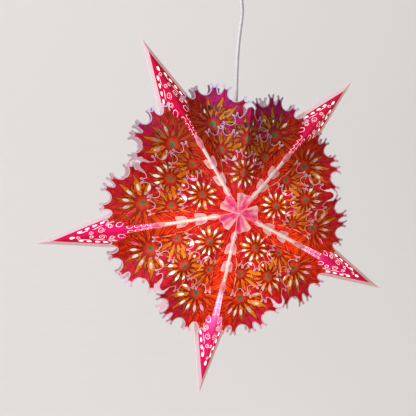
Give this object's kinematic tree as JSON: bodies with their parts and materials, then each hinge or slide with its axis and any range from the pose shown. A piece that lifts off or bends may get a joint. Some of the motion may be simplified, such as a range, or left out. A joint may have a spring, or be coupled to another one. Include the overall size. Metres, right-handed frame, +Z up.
{
  "type": "hanging star lantern",
  "caption": "Star-shaped paper lantern of folded, die-cut floral card with pink arms, hung on a white flex from a ceiling rose, with a lampholder and bulb inside.",
  "frame": {"origin": "centre of the ceiling rose's back face, against the ceiling", "axes": "+Z up into the ceiling, the star's front faces -Y, +X to the viewer's right"},
  "size_m": [0.5671, 0.159, 0.6831],
  "materials": {
    "pink_card": "printed card, satin",
    "flower_card": "printed card, satin",
    "leaf_card": "printed card, satin",
    "petal_card": "printed card, satin",
    "white_flex": "soft pvc",
    "white_bakelite": "moulded",
    "brass": "plain",
    "porcelain": "unglazed",
    "aluminium": "pressed",
    "opal_glass": "frosted inside"
  },
  "bodies": {
    "ceiling_rose": {"rose_base": "white_bakelite", "rose_terminals": "brass", "rose_cover": "white_bakelite"},
    "knot": {"cord_knot": "white_flex"},
    "flex": {"flex_cord": "white_flex"},
    "lantern": {"holder_cap": "white_bakelite", "holder_body": "white_bakelite", "holder_ring": "white_bakelite", "bayonet_sleeve": "brass", "contact_block": "porcelain", "arm_front_1": "pink_card", "flower_sheet_front_1": "flower_card", "flower_leaves_front_1": "leaf_card", "arm_front_2": "pink_card", "flower_sheet_front_2": "flower_card", "flower_leaves_front_2": "leaf_card", "arm_front_3": "pink_card", "flower_sheet_front_3": "flower_card", "flower_leaves_front_3": "leaf_card", "arm_front_4": "pink_card", "flower_sheet_front_4": "flower_card", "flower_leaves_front_4": "leaf_card", "arm_front_5": "pink_card", "flower_sheet_front_5": "flower_card", "flower_leaves_front_5": "leaf_card", "petal_strips_front": "petal_card", "rosette_front": "petal_card", "arm_back_1": "pink_card", "flower_sheet_back_1": "flower_card", "flower_leaves_back_1": "leaf_card", "arm_back_2": "pink_card", "flower_sheet_back_2": "flower_card", "flower_leaves_back_2": "leaf_card", "arm_back_3": "pink_card", "flower_sheet_back_3": "flower_card", "flower_leaves_back_3": "leaf_card", "arm_back_4": "pink_card", "flower_sheet_back_4": "flower_card", "flower_leaves_back_4": "leaf_card", "arm_back_5": "pink_card", "flower_sheet_back_5": "flower_card", "flower_leaves_back_5": "leaf_card", "petal_strips_back": "petal_card", "rosette_back": "petal_card"},
    "plungers": {"contact_plungers": "brass"},
    "bulb": {"bulb_cap": "aluminium", "bulb_glass": "opal_glass"}
  },
  "joints": [
    {"name": "swing_forward", "type": "hinge", "parent": "ceiling_rose", "child": "knot", "pos_m": [0, 0, -0.02412], "axis": [1, 0, 0], "range_deg": [-20, 20]},
    {"name": "swing_sideways", "type": "hinge", "parent": "knot", "child": "flex", "pos_m": [0, 0, -0.02412], "axis": [0, 1, 0], "range_deg": [-20, 20]},
    {"name": "lantern_turn", "type": "hinge", "parent": "flex", "child": "lantern", "pos_m": [0, 0, -0.3031], "axis": [0, 0, 1], "range_deg": [-180, 180]},
    {"name": "bulb_push", "type": "slide", "parent": "lantern", "child": "plungers", "axis": [0, 0, 1], "range_m": [0, 0.002], "stiffness_N_per_m": 2000, "springref_m": -0.005},
    {"name": "bulb_turn", "type": "hinge", "parent": "plungers", "child": "bulb", "pos_m": [0, 0, -0.34909], "axis": [0, 0, 1], "range_deg": [0, 22]}
  ]
}
